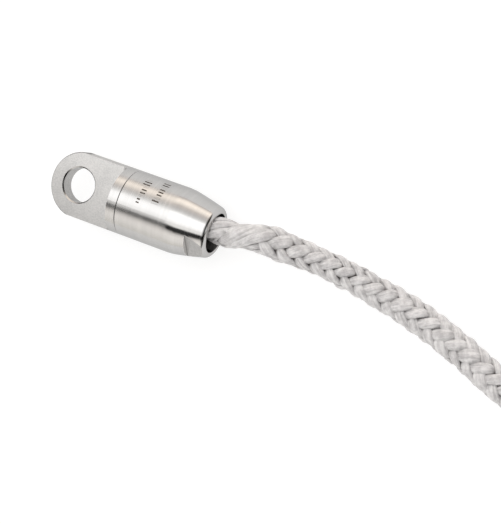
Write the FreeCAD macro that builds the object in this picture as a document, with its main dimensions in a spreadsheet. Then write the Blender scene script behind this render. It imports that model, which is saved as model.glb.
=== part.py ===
import FreeCAD, Part
import math
import os
import Sketcher

# Thimble eye: an end fitting for a spliced fibre rope.
#
# An eye body (lug plate, collar, threaded boss and fork) carries a grooved thimble on a cross pin.
# The rope's spliced eye goes round the thimble. A tapered sleeve slips along the rope, screws over
# the boss and holds the pin captive. The rope runs out of the sleeve's mouth, sinks to the surface
# that the sleeve lies on, and its spare length is folded into a tied hank.
#
# Frame: millimetres. Origin at the centre of the eye's hole, +X along the fitting towards the rope,
# +Z square to the lug plate. The sleeve lies on the plane z = -bar_diameter / 2.

SIZES = {
    # Eye body, turned from one bar and milled
    "bar_diameter": 16.0,
    "plate_thickness": 4.2,
    "head_offset": 0.45,  # the round end's centre, from the hole's centre
    "eye_hole_diameter": 8.4,
    "eye_hole_chamfer": 0.3,
    "plate_edge_chamfer": 0.2,
    "shoulder_radius": 1.0,  # milled corner between the plate and the collar
    "collar_start": 11.2,
    "joint_face": 13.65,  # where the sleeve bears on the collar
    "joint_chamfer": 0.07,
    "joint_gap": 0.08,  # the line that shows between the collar and the sleeve
    "joint_gap_diameter": 15.3,
    "thread_diameter": 13.9,
    "thread_length": 4.5,
    "thread_pitch": 1.0,
    "thread_count": 3,  # grooves a pitch apart stand for the thread's turns
    "boss_groove_depth": 0.45,
    "boss_groove_half_width": 0.45,
    "groove_overshoot": 0.04,  # how far a groove's profile stands out of the metal that it cuts
    "relief_length": 0.8,
    "relief_diameter": 12.6,
    "fork_diameter": 12.7,
    "fork_end": 25.9,
    "fork_chamfer": 0.8,
    "slot_width": 5.8,
    "slot_bottom": 16.6,
    # Pin and thimble
    "pin_place": 23.0,
    "pin_diameter": 3.0,
    "pin_length": 12.2,
    "pin_chamfer": 0.3,
    "pin_hole_diameter": 3.06,
    "thimble_bore": 3.1,
    "thimble_diameter": 6.6,
    "thimble_width": 5.5,
    "thimble_groove_radius": 2.15,
    # Rope eye
    "eye_rope_diameter": 4.1,  # one leg of the splice, squeezed as it is round the thimble
    "eye_rope_turn": 4.2,  # radius of the leg's centre line round the pin
    "leg_height": 2.1,  # where the legs lie side by side
    "leg_angle": 15.0,  # each leg's slope from the thimble to the throat
    "leg_bend": 12.0,
    "throat": 44.0,  # where the two legs become one rope
    # Sleeve
    "sleeve_end": 36.5,
    "sleeve_thread_bore": 14.0,
    "sleeve_thread_end": 19.0,
    "bore_groove_depth": 0.27,
    "bore_groove_half_width": 0.4,
    "sleeve_bore": 13.0,
    "taper_start": 26.4,
    "taper_end": 31.6,
    "throat_bore": 9.8,
    "mouth_bore": 9.44,
    "nose_start": 27.7,
    "nose_angle": 12.8,
    "nose_crown": 100.0,  # radius of the nose's outline, which is slightly full
    "nose_blend": 14.6,
    "lip_radius": 1.3,
    "lip_inner_radius": 0.2,
    "flat_start": 31.8,
    "flats_across": 12.0,
    "flat_angle": 138.0,  # how far round the flats stand from +Y once the sleeve is tight
    # Standing rope, with its buried tail inside it
    "rope_diameter": 7.0,
    # Hank of the spare length
    "hank_centre_x": 167.0,
    "hank_centre_y": 1.5,
    "hank_half_run": 31.5,
    "hank_fold_radius": 17.5,
    "hank_height": 12.8,
    "hank_edge_radius": 3.3,
    "tie_width": 6.0,
    "tie_thickness": 0.9,
    "whipping_diameter": 6.0,
    "whipping_length": 10.0,
    "whipping_rounding": 0.9,
    "rope_tip": 137.0,  # x of the rope's sealed tip, on the hank's far run
    "tip_height": 9.9,  # the tip's centre above the surface
}

# Centre line of the standing rope, from the throat to the near run of the hank, as corners of a
# route. Each corner is rounded by an arc. The heights count from the fitting's axis.
ROPE_ROUTE = (
    (44.0, 0.0, 0.0),
    (52.0, 0.0, 0.0),
    (60.0, 1.2, -0.9),
    (68.5, 1.4, -2.8),
    (77.0, -0.6, -4.3),
    (86.0, -2.6, -4.5),
    (95.5, -5.6, -4.5),
    (104.5, -9.2, -4.5),
    (113.5, -12.6, -4.5),
    (124.0, -15.3, -4.5),
    (136.0, -16.0, -4.5),
)

doc = FreeCAD.newDocument("thimble_eye")
sheet = doc.addObject("Spreadsheet::Sheet", "sizes")
for row, (alias, number) in enumerate(SIZES.items(), start=1):
    sheet.set(f"A{row}", alias)
    sheet.set(f"B{row}", str(number))
    sheet.setAlias(f"B{row}", alias)
doc.recompute()


class Size:
    """A length with its value and the spreadsheet expression that gives it."""

    def __init__(self, value, text):
        self.value = value
        self.text = text

    def combined(self, sign, other):
        if not isinstance(other, Size):
            other = Size(other, str(other))
        results = {
            "+": lambda: self.value + other.value,
            "-": lambda: self.value - other.value,
            "*": lambda: self.value * other.value,
            "/": lambda: self.value / other.value,
        }
        return Size(results[sign](), f"({self.text} {sign} {other.text})")

    def __add__(self, other):
        return self.combined("+", other)

    def __sub__(self, other):
        return self.combined("-", other)

    def __mul__(self, other):
        return self.combined("*", other)

    def __truediv__(self, other):
        return self.combined("/", other)

    def __neg__(self):
        return Size(-self.value, f"(0 - {self.text})")


def size(alias):
    return Size(float(SIZES[alias]), f"sizes.{alias}")


ZERO = Size(0.0, "0")
BEYOND = Size(40.0, "40")  # past anything that a cut has to clear
AXIS_MARK = Size(2.0, "2")  # length of a construction line that a profile turns about


def new_body(name):
    body = doc.addObject("PartDesign::Body", name)
    body.Label = name
    return body


def new_sketch(body, name, plane):
    """A sketch on one of the body's own origin planes."""
    sketch = body.newObject("Sketcher::SketchObject", name)
    support = next(f for f in body.Origin.OriginFeatures if f.Role == plane)
    sketch.AttachmentSupport = [(support, "")]
    sketch.MapMode = "FlatFace"
    return sketch


def bind(sketch, kind, *elements, to):
    """Add a dimension to a sketch and bind it to the spreadsheet."""
    index = sketch.addConstraint(Sketcher.Constraint(kind, *elements, to.value))
    sketch.setExpression(f"Constraints[{index}]", to.text)


def fix_point(sketch, line, end, x, y):
    """Hold one end of a line at x, y."""
    for kind, on_axis, place in (("DistanceX", -2, x), ("DistanceY", -1, y)):
        if place is ZERO:
            sketch.addConstraint(Sketcher.Constraint("PointOnObject", line, end, on_axis))
        else:
            bind(sketch, kind, -1, 1, line, end, to=place)


def crowned_side(start, end, radius):
    """An arc that stands out to the left of the way from start to end. It runs from end to start."""
    run = end - start
    inward = FreeCAD.Vector(run.y, -run.x, 0).normalize()
    centre = (start + end) * 0.5 + inward * math.sqrt(radius**2 - run.Length**2 / 4)
    circle = Part.Circle(centre, FreeCAD.Vector(0, 0, 1), radius)
    to_end = end - centre
    to_start = start - centre
    return Part.ArcOfCircle(circle, math.atan2(to_end.y, to_end.x), math.atan2(to_start.y, to_start.x))


def add_polygon(sketch, corners, crowned=None, crown=None):
    """A closed outline with every corner held by the spreadsheet.

    Its sides are straight, but for the one numbered crowned, an arc with the radius crown.
    """
    first = sketch.GeometryCount
    count = len(corners)
    for i, (x, y) in enumerate(corners):
        x2, y2 = corners[(i + 1) % count]
        start = FreeCAD.Vector(x.value, y.value, 0)
        end = FreeCAD.Vector(x2.value, y2.value, 0)
        if i == crowned:
            sketch.addGeometry(crowned_side(start, end, crown.value), False)
        else:
            sketch.addGeometry(Part.LineSegment(start, end), False)
    for i, (x, y) in enumerate(corners):
        before = (i - 1) % count
        start_point = 2 if i == crowned else 1
        end_point = 1 if before == crowned else 2
        sketch.addConstraint(
            Sketcher.Constraint("Coincident", first + before, end_point, first + i, start_point)
        )
        fix_point(sketch, first + i, start_point, x, y)
    if crowned is not None:
        bind(sketch, "Radius", first + crowned, to=crown)


def add_circle(sketch, x, y, diameter):
    centre = FreeCAD.Vector(x.value, y.value, 0)
    outline = Part.Circle(centre, FreeCAD.Vector(0, 0, 1), diameter.value / 2)
    circle = sketch.addGeometry(outline, False)
    fix_point(sketch, circle, 3, x, y)
    bind(sketch, "Diameter", circle, to=diameter)


def revolve(body, name, sketch, axis, kind="PartDesign::Revolution"):
    feature = body.newObject(kind, name)
    feature.Profile = sketch
    feature.ReferenceAxis = (sketch, [axis])
    feature.Angle = 360
    sketch.Visibility = False
    doc.recompute()
    return feature


def cut_through(body, name, sketch):
    """A pocket right through the body, both ways from its sketch."""
    pocket = body.newObject("PartDesign::Pocket", name)
    pocket.Profile = sketch
    pocket.Type = "ThroughAll"
    pocket.Midplane = True
    doc.recompute()
    return pocket


def repeat_along_axis(body, name, groove, sketch):
    """Repeat a thread groove along the fitting's axis, one pitch apart."""
    pattern = body.newObject("PartDesign::LinearPattern", name)
    pattern.Originals = [groove]
    pattern.Direction = (sketch, ["H_Axis"])
    pattern.setExpression("Length", "sizes.thread_pitch * (sizes.thread_count - 1)")
    pattern.setExpression("Occurrences", "sizes.thread_count")
    body.Tip = pattern
    doc.recompute()
    return pattern


def edges_where(feature, wanted):
    """Names of the feature's edges whose curve and midpoint pass a test."""
    names = []
    for number, edge in enumerate(feature.Shape.Edges, start=1):
        middle = edge.valueAt((edge.FirstParameter + edge.LastParameter) / 2)
        if wanted(edge, middle):
            names.append(f"Edge{number}")
    if not names:
        raise RuntimeError(f"no edge of {feature.Name} passes")
    return names


def circle_at(x, radius):
    """A test for whole circles about the fitting's axis."""

    def wanted(edge, _):
        curve = edge.Curve
        return (
            isinstance(curve, Part.Circle)
            and abs(curve.Radius - radius.value) < 0.01
            and abs(curve.Center.x - x.value) < 0.01
            and abs(abs(curve.Axis.x) - 1) < 0.001
        )

    return wanted


def dress(body, name, kind, base, wanted, amount):
    """A chamfer or a fillet on the edges that pass a test."""
    feature = body.newObject(f"PartDesign::{kind}", name)
    feature.Base = (base, edges_where(base, wanted))
    feature.setExpression("Size" if kind == "Chamfer" else "Radius", amount.text)
    doc.recompute()
    return feature


def make_eye_body():
    body = new_body("eye_body")
    bar = size("bar_diameter") / 2
    thread = size("thread_diameter") / 2
    relief = size("relief_diameter") / 2
    fork = size("fork_diameter") / 2
    head_end = size("head_offset") - bar
    joint = size("joint_face")
    chamfer = size("joint_chamfer")
    relief_end = joint + size("relief_length")
    thread_end = joint + size("thread_length")
    fork_end = size("fork_end")
    fork_chamfer = size("fork_chamfer")

    turned = new_sketch(body, "eye_body_turned_profile", "XZ_Plane")
    add_polygon(
        turned,
        [
            (head_end, ZERO),
            (head_end, bar),
            (joint - chamfer, bar),
            (joint, bar - chamfer),
            (joint, relief),
            (relief_end, relief),
            (relief_end, thread),
            (thread_end, thread),
            (thread_end, fork),
            (fork_end - fork_chamfer, fork),
            (fork_end, fork - fork_chamfer),
            (fork_end, ZERO),
        ],
    )
    blank = revolve(body, "eye_body_blank", turned, "H_Axis")

    # Thread grooves on the boss
    first = relief_end + size("thread_pitch") / 2
    half_width = size("boss_groove_half_width")
    outside = thread + size("groove_overshoot")
    groove_sketch = new_sketch(body, "boss_thread_profile", "XZ_Plane")
    add_polygon(
        groove_sketch,
        [
            (first, thread - size("boss_groove_depth")),
            (first + half_width, outside),
            (first - half_width, outside),
        ],
    )
    groove = revolve(body, "boss_thread_groove", groove_sketch, "H_Axis", "PartDesign::Groove")
    thread_feature = repeat_along_axis(body, "boss_thread", groove, groove_sketch)

    # Lug plate: both sides milled flat, back to the collar
    half_plate = size("plate_thickness") / 2
    collar = size("collar_start")
    sides = new_sketch(body, "plate_sides_profile", "XZ_Plane")
    for sign in (1, -1):
        low = half_plate if sign == 1 else -half_plate
        far = BEYOND if sign == 1 else -BEYOND
        add_polygon(sides, [(-BEYOND, low), (collar, low), (collar, far), (-BEYOND, far)])
    plate = cut_through(body, "plate_sides", sides)

    # Round end of the plate, milled about a centre just behind the hole
    head = new_sketch(body, "plate_end_profile", "XY_Plane")
    centre = size("head_offset")
    waste = [
        (centre, bar),
        (centre, BEYOND),
        (-BEYOND, BEYOND),
        (-BEYOND, -BEYOND),
        (centre, -BEYOND),
        (centre, -bar),
    ]
    for (x, y), (x2, y2) in zip(waste, waste[1:]):
        start = FreeCAD.Vector(x.value, y.value, 0)
        end = FreeCAD.Vector(x2.value, y2.value, 0)
        head.addGeometry(Part.LineSegment(start, end), False)
    end_circle = Part.Circle(FreeCAD.Vector(centre.value, 0, 0), FreeCAD.Vector(0, 0, 1), bar.value)
    arc = head.addGeometry(Part.ArcOfCircle(end_circle, math.pi / 2, 3 * math.pi / 2), False)
    for i in range(1, len(waste) - 1):
        head.addConstraint(Sketcher.Constraint("Coincident", i - 1, 2, i, 1))
    head.addConstraint(Sketcher.Constraint("Coincident", arc, 1, 0, 1))
    head.addConstraint(Sketcher.Constraint("Coincident", arc, 2, arc - 1, 2))
    for i, (x, y) in enumerate(waste[:-1]):
        fix_point(head, i, 1, x, y)
    fix_point(head, arc - 1, 2, *waste[-1])
    bind(head, "DistanceX", -1, 1, arc, 3, to=centre)
    rounded = cut_through(body, "plate_end", head)

    # Pin hole through the lug
    eye_hole = new_sketch(body, "eye_hole_profile", "XY_Plane")
    add_circle(eye_hole, ZERO, ZERO, size("eye_hole_diameter"))
    holed = cut_through(body, "eye_hole", eye_hole)

    # Fork: a slot for the rope's eye and a cross hole for the thimble pin
    half_slot = size("slot_width") / 2
    slot_bottom = size("slot_bottom")
    slot = new_sketch(body, "fork_slot_profile", "XY_Plane")
    add_polygon(
        slot,
        [
            (slot_bottom, -half_slot),
            (BEYOND, -half_slot),
            (BEYOND, half_slot),
            (slot_bottom, half_slot),
        ],
    )
    slotted = cut_through(body, "fork_slot", slot)
    cross_hole = new_sketch(body, "pin_hole_profile", "XZ_Plane")
    add_circle(cross_hole, size("pin_place"), ZERO, size("pin_hole_diameter"))
    drilled = cut_through(body, "pin_hole", cross_hole)

    def shoulder(edge, middle):
        on_face = abs(abs(middle.z) - half_plate.value) < 0.01
        return on_face and abs(middle.x - collar.value) < 0.01 and isinstance(edge.Curve, Part.Line)

    milled = dress(body, "plate_shoulders", "Fillet", drilled, shoulder, size("shoulder_radius"))

    def hole_rim(edge, middle):
        curve = edge.Curve
        radius = size("eye_hole_diameter").value / 2
        return (
            isinstance(curve, Part.Circle)
            and abs(curve.Radius - radius) < 0.01
            and abs(curve.Axis.z) > 0.999
            and abs(middle.z) > 1
        )

    rimmed = dress(body, "eye_hole_rims", "Chamfer", milled, hole_rim, size("eye_hole_chamfer"))

    def end_rim(edge, middle):
        return (
            isinstance(edge.Curve, Part.Circle)
            and abs(edge.Curve.Radius - bar.value) < 0.01
            and abs(edge.Curve.Axis.z) > 0.999
            and abs(abs(middle.z) - half_plate.value) < 0.01
        )

    dress(body, "plate_edges", "Chamfer", rimmed, end_rim, size("plate_edge_chamfer"))
    return body


def make_thimble_pin():
    body = new_body("thimble_pin")
    section = new_sketch(body, "thimble_pin_section", "XZ_Plane")
    add_circle(section, size("pin_place"), ZERO, size("pin_diameter"))
    rod = body.newObject("PartDesign::Pad", "thimble_pin_rod")
    rod.Profile = section
    rod.Midplane = True
    rod.setExpression("Length", "sizes.pin_length")
    doc.recompute()
    dress(
        body,
        "thimble_pin_ends",
        "Chamfer",
        rod,
        lambda edge, middle: isinstance(edge.Curve, Part.Circle),
        size("pin_chamfer"),
    )
    return body


def make_thimble():
    """A bush with a round groove that the rope's eye sits in, turned about the pin's axis."""
    body = new_body("thimble")
    section = new_sketch(body, "thimble_section", "XY_Plane")
    pin = size("pin_place")
    bore = size("thimble_bore") / 2
    rim = size("thimble_diameter") / 2
    half_width = size("thimble_width") / 2
    turn = size("eye_rope_turn")
    groove = size("thimble_groove_radius")
    groove_half = math.sqrt(groove.value**2 - (turn - rim).value ** 2)
    block = [
        (pin + rim, half_width),
        (pin + bore, half_width),
        (pin + bore, -half_width),
        (pin + rim, -half_width),
    ]
    rim_x = (pin + rim).value
    points = [FreeCAD.Vector(rim_x, groove_half, 0)]
    points += [FreeCAD.Vector(x.value, y.value, 0) for x, y in block]
    points.append(FreeCAD.Vector(rim_x, -groove_half, 0))
    for start, end in zip(points, points[1:]):
        section.addGeometry(Part.LineSegment(start, end), False)
    centre = pin + turn
    half_angle = math.atan2(groove_half, (turn - rim).value)
    circle = Part.Circle(FreeCAD.Vector(centre.value, 0, 0), FreeCAD.Vector(0, 0, 1), groove.value)
    arc = section.addGeometry(
        Part.ArcOfCircle(circle, math.pi - half_angle, math.pi + half_angle), False
    )
    for i, (x, y) in enumerate(block, start=1):
        section.addConstraint(Sketcher.Constraint("Coincident", i - 1, 2, i, 1))
        fix_point(section, i, 1, x, y)
    section.addConstraint(Sketcher.Constraint("Coincident", arc, 1, 0, 1))
    section.addConstraint(Sketcher.Constraint("Coincident", arc, 2, arc - 1, 2))
    bind(section, "DistanceX", -1, 1, 0, 1, to=pin + rim)
    bind(section, "DistanceX", -1, 1, arc - 1, 2, to=pin + rim)
    bind(section, "DistanceX", -1, 1, arc, 3, to=centre)
    section.addConstraint(Sketcher.Constraint("PointOnObject", arc, 3, -1))
    bind(section, "Radius", arc, to=groove)

    half_mark = AXIS_MARK.value / 2
    axis_start = FreeCAD.Vector(pin.value, -half_mark, 0)
    axis_end = FreeCAD.Vector(pin.value, half_mark, 0)
    axis_line = section.addGeometry(Part.LineSegment(axis_start, axis_end), True)
    bind(section, "DistanceX", -1, 1, axis_line, 1, to=pin)
    section.addConstraint(Sketcher.Constraint("Symmetric", axis_line, 1, axis_line, 2, -1))
    bind(section, "DistanceY", axis_line, 1, axis_line, 2, to=AXIS_MARK)
    revolve(body, "thimble_turned", section, "Axis0")
    return body


NOSE_SIDE = 5  # the side of the sleeve's outline that runs from nose_start to the mouth


def make_sleeve():
    body = new_body("sleeve")
    bar = size("bar_diameter") / 2
    joint = size("joint_face")
    chamfer = size("joint_chamfer")
    edge = joint + size("joint_gap")
    gap_bottom = size("joint_gap_diameter") / 2
    end = size("sleeve_end")
    nose = size("nose_start")
    slope = Size(math.tan(math.radians(SIZES["nose_angle"])), "tan(sizes.nose_angle * 1deg)")
    lip = bar - (end - nose) * slope
    mouth = size("mouth_bore") / 2
    bore = size("sleeve_bore") / 2
    thread = size("sleeve_thread_bore") / 2
    thread_end = size("sleeve_thread_end")

    turned = new_sketch(body, "sleeve_turned_profile", "XZ_Plane")
    add_polygon(
        turned,
        [
            (joint, thread),
            (joint, gap_bottom),
            (edge, gap_bottom),
            (edge, bar - chamfer),
            (edge + chamfer, bar),
            (nose, bar),
            (end, lip),
            (end, mouth),
            (size("taper_end"), size("throat_bore") / 2),
            (size("taper_start"), bore),
            (thread_end, bore),
            (thread_end, thread),
        ],
        crowned=NOSE_SIDE,
        crown=size("nose_crown"),
    )
    blank = revolve(body, "sleeve_blank", turned, "H_Axis")

    # Thread grooves in the bore
    first = joint + size("relief_length") + size("thread_pitch") / 2
    half_width = size("bore_groove_half_width")
    inside = thread - size("groove_overshoot")
    groove_sketch = new_sketch(body, "sleeve_thread_profile", "XZ_Plane")
    add_polygon(
        groove_sketch,
        [
            (first, thread + size("bore_groove_depth")),
            (first - half_width, inside),
            (first + half_width, inside),
        ],
    )
    groove = revolve(body, "sleeve_thread_groove", groove_sketch, "H_Axis", "PartDesign::Groove")
    threaded = repeat_along_axis(body, "sleeve_thread", groove, groove_sketch)

    blended = dress(body, "nose_blend", "Fillet", threaded, circle_at(nose, bar), size("nose_blend"))
    lipped = dress(body, "mouth_lip", "Fillet", blended, circle_at(end, lip), size("lip_radius"))
    dress(body, "mouth_inner_lip", "Fillet", lipped, circle_at(end, mouth), size("lip_inner_radius"))

    # Two spanner flats across the nose, cut from the mouth back to a square shoulder
    flats = new_sketch(body, "spanner_flats_profile", "YZ_Plane")
    half_flats = size("flats_across") / 2
    for sign in (1, -1):
        near = half_flats if sign == 1 else -half_flats
        far = BEYOND if sign == 1 else -BEYOND
        add_polygon(flats, [(near, -BEYOND), (far, -BEYOND), (far, BEYOND), (near, BEYOND)])
    flats.setExpression(".AttachmentOffset.Base.z", "sizes.flat_start")
    flats.setExpression(".AttachmentOffset.Rotation.Angle", "sizes.flat_angle * 1deg")
    pocket = body.newObject("PartDesign::Pocket", "spanner_flats")
    pocket.Profile = flats
    pocket.Type = "ThroughAll"
    pocket.Reversed = True
    doc.recompute()
    return body


def circle_wire(centre, direction, radius):
    return Part.Wire([Part.Circle(centre, direction, radius).toShape()])


def swept(path, start, direction, radius):
    """A round tube along a wire whose edges run smoothly into each other."""
    shell = Part.BRepOffsetAPI.MakePipeShell(path)
    shell.setFrenetMode(False)
    shell.add(circle_wire(start, direction, radius))
    shell.build()
    shell.makeSolid()
    return shell.shape()


def compare_volume(name, shape, path, radius):
    expected = math.pi * radius**2 * path.Length
    ratio = shape.Volume / expected
    print(f"{name}: {path.Length:.1f} mm long, volume {ratio:.4f} of its section times length")


def rounded_path(name, corners):
    """Straight runs joined by tangent arcs, each as large as its two runs allow."""
    points = [FreeCAD.Vector(*corner) for corner in corners]
    edges = []
    reached = points[0]
    for before, corner, after in zip(points, points[1:], points[2:]):
        run_in = corner - before
        run_out = after - corner
        half_turn = run_in.getAngle(run_out) / 2
        trim = 0.45 * min(run_in.Length, run_out.Length)
        radius = trim / math.tan(half_turn)
        arc_start = corner - FreeCAD.Vector(run_in).normalize() * trim
        arc_end = corner + FreeCAD.Vector(run_out).normalize() * trim
        inward = (arc_start + arc_end) * 0.5 - corner
        middle = corner + FreeCAD.Vector(inward).normalize() * (
            radius / math.cos(half_turn) - radius
        )
        edges.append(Part.LineSegment(reached, arc_start).toShape())
        edges.append(Part.Arc(arc_start, middle, arc_end).toShape())
        reached = arc_end
        print(f"{name}: corner at x {corner.x:.1f}, arc radius {radius:.1f} mm")
    edges.append(Part.LineSegment(reached, points[-1]).toShape())
    return Part.Wire(edges)


def add_shape(name, shape):
    feature = doc.addObject("Part::Feature", name)
    feature.Label = name
    feature.Shape = shape
    feature.Placement = FreeCAD.Placement()
    return feature


def make_rope_eye():
    """The splice's eye: two legs from the throat, joined by a turn round the thimble."""
    radius = SIZES["eye_rope_diameter"] / 2
    turn = SIZES["eye_rope_turn"]
    pin = FreeCAD.Vector(SIZES["pin_place"], 0, 0)
    slope = math.radians(SIZES["leg_angle"])
    height = SIZES["leg_height"]
    throat = SIZES["throat"]
    bend = SIZES["leg_bend"]

    def mirrored(point):
        return FreeCAD.Vector(point.x, point.y, -point.z)

    # Where the sloping leg leaves the thimble, and the corner where it turns level
    leaves = pin + FreeCAD.Vector(turn * math.sin(slope), 0, turn * math.cos(slope))
    corner_x = leaves.x + (leaves.z - height) / math.tan(slope)
    corner = FreeCAD.Vector(corner_x, 0, height)
    trim = bend * math.tan(slope / 2)
    bend_start = corner - FreeCAD.Vector(math.cos(slope), 0, -math.sin(slope)) * trim
    bend_end = corner + FreeCAD.Vector(trim, 0, 0)
    bend_centre = bend_end + FreeCAD.Vector(0, 0, bend)
    half = slope / 2
    bend_middle = bend_centre + FreeCAD.Vector(-math.sin(half), 0, -math.cos(half)) * bend
    start = FreeCAD.Vector(throat, 0, height)
    far_side = pin - FreeCAD.Vector(turn, 0, 0)

    path = Part.Wire(
        [
            Part.LineSegment(start, bend_end).toShape(),
            Part.Arc(bend_end, bend_middle, bend_start).toShape(),
            Part.LineSegment(bend_start, leaves).toShape(),
            Part.Arc(leaves, far_side, mirrored(leaves)).toShape(),
            Part.LineSegment(mirrored(leaves), mirrored(bend_start)).toShape(),
            Part.Arc(mirrored(bend_start), mirrored(bend_middle), mirrored(bend_end)).toShape(),
            Part.LineSegment(mirrored(bend_end), mirrored(start)).toShape(),
        ]
    )
    loop = swept(path, start, FreeCAD.Vector(-1, 0, 0), radius)
    compare_volume("rope_eye", loop, path, radius)
    return add_shape("rope_eye", loop)


def racetrack(half_run, fold_radius, offset):
    """A closed outline with two straight sides and two round ends, about the origin."""
    radius = fold_radius + offset
    corners = [
        FreeCAD.Vector(x * half_run, y * radius, 0) for x, y in ((-1, -1), (1, -1), (1, 1), (-1, 1))
    ]
    right = FreeCAD.Vector(half_run + radius, 0, 0)
    left = FreeCAD.Vector(-half_run - radius, 0, 0)
    return Part.Wire(
        [
            Part.LineSegment(corners[0], corners[1]).toShape(),
            Part.Arc(corners[1], right, corners[2]).toShape(),
            Part.LineSegment(corners[2], corners[3]).toShape(),
            Part.Arc(corners[3], left, corners[0]).toShape(),
        ]
    )


def make_hank_ties():
    """Two bands, one round each run of the hank, both standing on the surface."""
    ground = -SIZES["bar_diameter"] / 2
    thickness = SIZES["tie_thickness"]
    width = SIZES["tie_width"]
    rope = SIZES["rope_diameter"]
    height = SIZES["hank_height"]
    bands = []
    for side in (-1, 1):
        x = SIZES["hank_centre_x"] - width / 2
        y = SIZES["hank_centre_y"] + side * SIZES["hank_fold_radius"] - rope / 2
        outside = FreeCAD.Vector(x, y - thickness / 2, ground)
        inside = FreeCAD.Vector(x, y + thickness / 2, ground + thickness)
        outer = Part.makeBox(width, rope + thickness, height + thickness, outside)
        inner = Part.makeBox(width, rope - thickness, height - thickness, inside)
        outer = outer.makeFillet(rope / 2 - thickness / 2, along_x(outer))
        inner = inner.makeFillet(rope / 2 - thickness, along_x(inner))
        bands.append(outer.cut(inner))
    return add_shape("hank_ties", Part.makeCompound(bands))


def along_x(shape):
    return [e for e in shape.Edges if abs(e.tangentAt(e.FirstParameter).x) > 0.99]


def make_rope_whipping():
    """The whipped and sealed end of the rope."""
    radius = SIZES["whipping_diameter"] / 2
    ground = -SIZES["bar_diameter"] / 2
    tip = FreeCAD.Vector(
        SIZES["rope_tip"],
        SIZES["hank_centre_y"] + SIZES["hank_fold_radius"],
        ground + SIZES["tip_height"],
    )
    binding = Part.makeCylinder(radius, SIZES["whipping_length"], tip, FreeCAD.Vector(1, 0, 0))
    rims = [e for e in binding.Edges if isinstance(e.Curve, Part.Circle)]
    tip_rim = [e for e in rims if e.Curve.Center.x < tip.x + 1]
    return add_shape("rope_whipping", binding.makeFillet(SIZES["whipping_rounding"], tip_rim))


def make_rope_hank(ties, whipping):
    """The folded spare length, as the outer shape of its turns, necked under its ties."""
    ground = -SIZES["bar_diameter"] / 2
    half = SIZES["rope_diameter"] / 2
    half_run = SIZES["hank_half_run"]
    fold = SIZES["hank_fold_radius"]
    outline = Part.Face([racetrack(half_run, fold, half)])
    hollow = Part.Face([racetrack(half_run, fold, -half)])
    block = outline.extrude(FreeCAD.Vector(0, 0, SIZES["hank_height"]))
    hole = hollow.extrude(FreeCAD.Vector(0, 0, SIZES["hank_height"]))
    ring = block.cut(hole)
    edges = [e for e in ring.Edges if abs(e.tangentAt(e.FirstParameter).z) < 0.01]
    ring = ring.makeFillet(SIZES["hank_edge_radius"], edges)
    ring.translate(FreeCAD.Vector(SIZES["hank_centre_x"], SIZES["hank_centre_y"], ground))
    ring = ring.cut(ties.Shape).cut(whipping.Shape)
    solids = sorted(ring.Solids, key=lambda solid: solid.Volume)
    return add_shape("rope_hank", solids[-1])


def make_rope(hank):
    """The standing rope, from the throat of the splice to the hank."""
    radius = SIZES["rope_diameter"] / 2
    path = rounded_path("rope", ROPE_ROUTE)
    start = FreeCAD.Vector(*ROPE_ROUTE[0])
    tube = swept(path, start, FreeCAD.Vector(1, 0, 0), radius)
    compare_volume("rope", tube, path, radius)
    solids = sorted(tube.cut(hank.Shape).Solids, key=lambda solid: solid.Volume)
    return add_shape("rope", solids[-1])


parts = [make_eye_body(), make_thimble_pin(), make_thimble(), make_sleeve(), make_rope_eye()]
ties = make_hank_ties()
whipping = make_rope_whipping()
hank = make_rope_hank(ties, whipping)
parts += [make_rope(hank), hank, ties, whipping]
doc.recompute()

for item in doc.Objects:
    if "Invalid" in item.State or "Error" in item.State:
        raise RuntimeError(f"{item.Name} failed: {item.State}")
for part in parts:
    if part.Shape.isNull() or not part.Shape.isValid():
        raise RuntimeError(f"{part.Label} has no valid shape")

os.makedirs("parts", exist_ok=True)
for part in parts:
    part.Shape.exportStep(os.path.join("parts", f"{part.Label}.step"))
    box = part.Shape.BoundBox
    print(
        f"{part.Label}: {len(part.Shape.Solids)} solid(s), {part.Shape.Volume:.1f} mm3, "
        f"x {box.XMin:.2f}..{box.XMax:.2f}, y {box.YMin:.2f}..{box.YMax:.2f}, "
        f"z {box.ZMin:.2f}..{box.ZMax:.2f}"
    )
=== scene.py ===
import math

import bpy
import numpy as np
from mathutils import Matrix, Vector


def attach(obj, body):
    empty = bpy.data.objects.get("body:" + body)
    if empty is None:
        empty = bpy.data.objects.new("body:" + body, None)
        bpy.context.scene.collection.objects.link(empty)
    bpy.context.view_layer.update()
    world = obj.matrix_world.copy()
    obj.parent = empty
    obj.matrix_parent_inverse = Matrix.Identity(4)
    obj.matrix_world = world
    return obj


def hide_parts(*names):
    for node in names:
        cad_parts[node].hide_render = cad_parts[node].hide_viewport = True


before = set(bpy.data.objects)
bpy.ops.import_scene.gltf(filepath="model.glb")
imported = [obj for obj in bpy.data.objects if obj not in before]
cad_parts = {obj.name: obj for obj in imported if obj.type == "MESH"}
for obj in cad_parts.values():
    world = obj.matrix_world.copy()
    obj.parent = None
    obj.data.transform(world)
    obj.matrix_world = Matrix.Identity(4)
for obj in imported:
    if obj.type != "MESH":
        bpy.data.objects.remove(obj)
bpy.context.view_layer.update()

# All lengths are in metres, in the frame of the CAD model: origin at the centre of the eye's hole,
# +X along the fitting towards the rope, +Z square to the lug plate, the surface at z = -0.008.

GROUND = -0.008
MM = 0.001
UP = np.array((0.0, 0.0, 1.0))

# Camera
CAMERA_PLACE = Vector((0.15534, 0.04232, 0.30021))
CAMERA_TARGET = Vector((0.04672, -0.00345, 0.00023))
CAMERA_UP = Vector((-0.3246, 0.9455, -0.0267))
LENS_MM = 96.69
SENSOR_MM = 36.0

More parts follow.
